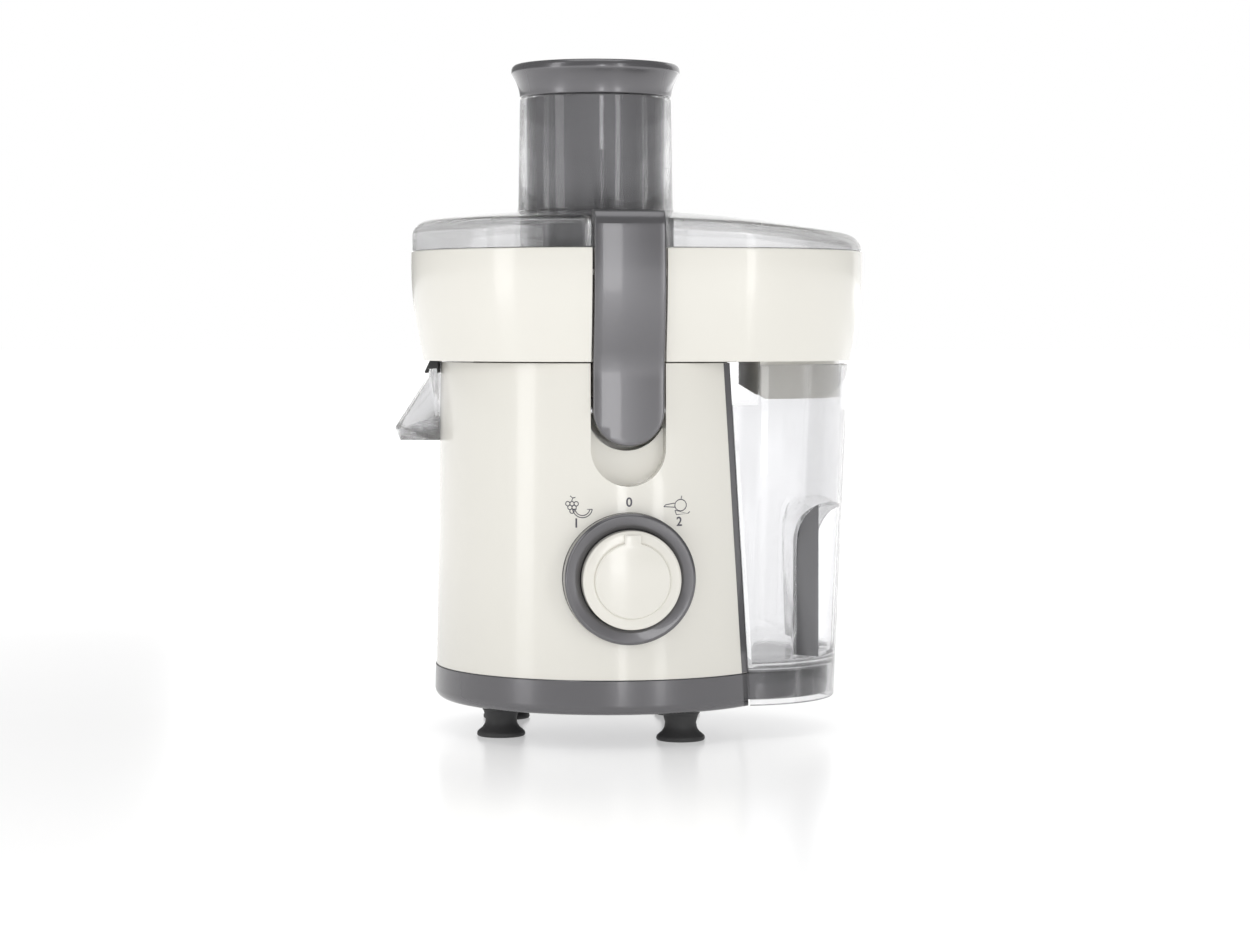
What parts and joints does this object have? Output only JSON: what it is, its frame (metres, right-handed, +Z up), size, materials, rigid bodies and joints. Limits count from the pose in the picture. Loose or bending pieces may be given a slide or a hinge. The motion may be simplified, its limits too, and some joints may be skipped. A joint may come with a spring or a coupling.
{
  "type": "centrifugal juicer",
  "caption": "Upright centrifugal juicer: round motor housing with a speed knob, clear lid with a wide feeding tube and pusher, two clamps, side pulp container and spout.",
  "frame": {"origin": "middle of the footprint, on the surface that the feet stand on", "axes": "+Z up, -Y towards the user at the knob, -X to the juice spout, +X to the pulp container"},
  "size_m": [0.2511, 0.2166, 0.357],
  "materials": {
    "cream_shell": "glossy moulded plastic, warm white",
    "grey_shell": "glossy moulded plastic, dark grey",
    "clear_plastic": "clear moulded plastic, polished",
    "rubber": "soft moulded rubber, dark grey",
    "sieve_steel": "perforated stainless steel",
    "sieve_plastic": "moulded nylon, off-white",
    "steel": "turned steel",
    "laminations": "stacked electrical steel",
    "copper": "enamelled copper",
    "die_cast": "die-cast, as cast",
    "brass": "pressed brass",
    "inner_plastic": "moulded nylon",
    "black_plastic": "moulded black plastic"
  },
  "bodies": {
    "root": {"motor_housing": "cream_shell", "base_pan": "grey_shell", "foot_front_left": "rubber", "foot_front_right": "rubber", "foot_rear_left": "rubber", "foot_rear_right": "rubber", "juice_collector": "cream_shell", "spout": "clear_plastic", "clamp_pin_front": "steel", "clamp_pin_rear": "steel", "shaft_seal": "rubber", "stator_core": "laminations", "field_coils": "copper", "upper_bearing": "steel", "lower_bearing": "steel", "upper_bracket": "die_cast", "lower_bracket": "die_cast", "brush_holder_left": "brass", "brush_holder_right": "brass", "carbon_brushes": "black_plastic", "brush_springs": "steel", "motor_bolts": "steel", "motor_mounts": "rubber", "knob_bezel": "grey_shell", "selector_switch": "black_plastic", "interlock_switch": "black_plastic", "cord_gland": "rubber", "base_screws": "steel", "terminal_block": "inner_plastic"},
    "sieve_drive": {"motor_shaft": "steel", "armature_core": "laminations", "armature_winding": "copper", "commutator": "copper", "cooling_fan": "inner_plastic", "drive_coupling": "grey_shell", "filter_hub": "sieve_plastic", "filter_mesh": "sieve_steel", "filter_rim": "sieve_plastic", "grating_disc": "sieve_steel"},
    "lid": {"lid": "clear_plastic"},
    "pusher": {"pusher": "grey_shell"},
    "clamp_front": {"clamp_front": "grey_shell"},
    "clamp_rear": {"clamp_rear": "grey_shell"},
    "knob": {"knob": "cream_shell", "switch_shaft": "inner_plastic"},
    "pulp_container": {"pulp_container": "clear_plastic"}
  },
  "joints": [
    {"name": "front_clamp_swing", "type": "hinge", "parent": "root", "child": "clamp_front", "pos_m": [-0.00097, -0.08334, 0.174], "axis": [0.9921, 0.1253, 0], "range_deg": [0, 65]},
    {"name": "rear_clamp_swing", "type": "hinge", "parent": "root", "child": "clamp_rear", "pos_m": [-0.00097, 0.08334, 0.174], "axis": [-0.9921, 0.1253, 0], "range_deg": [0, 65]},
    {"name": "lid_lift", "type": "slide", "parent": "root", "child": "lid", "axis": [0, 0, 1], "range_m": [0, 0.0347]},
    {"name": "pusher_slide", "type": "slide", "parent": "lid", "child": "pusher", "axis": [0, 0, 1], "range_m": [0, 0.12]},
    {"name": "sieve_spin", "type": "hinge", "parent": "root", "child": "sieve_drive", "pos_m": [-0.0115, 0, 0.1], "axis": [0, 0, 1], "continuous": true},
    {"name": "knob_turn", "type": "hinge", "parent": "root", "child": "knob", "pos_m": [-0.00097, -0.08334, 0.088], "axis": [0.1253, -0.9921, 0], "range_deg": [-45, 45]},
    {"name": "container_slide", "type": "slide", "parent": "root", "child": "pulp_container", "axis": [1, 0, 0], "range_m": [0, 0.1]}
  ],
  "couplings": [
    {"joint": "rear_clamp_swing", "follows": "front_clamp_swing", "ratio": 1},
    {"joint": "lid_lift", "follows": "front_clamp_swing", "m_per_rad": 0.0305}
  ]
}
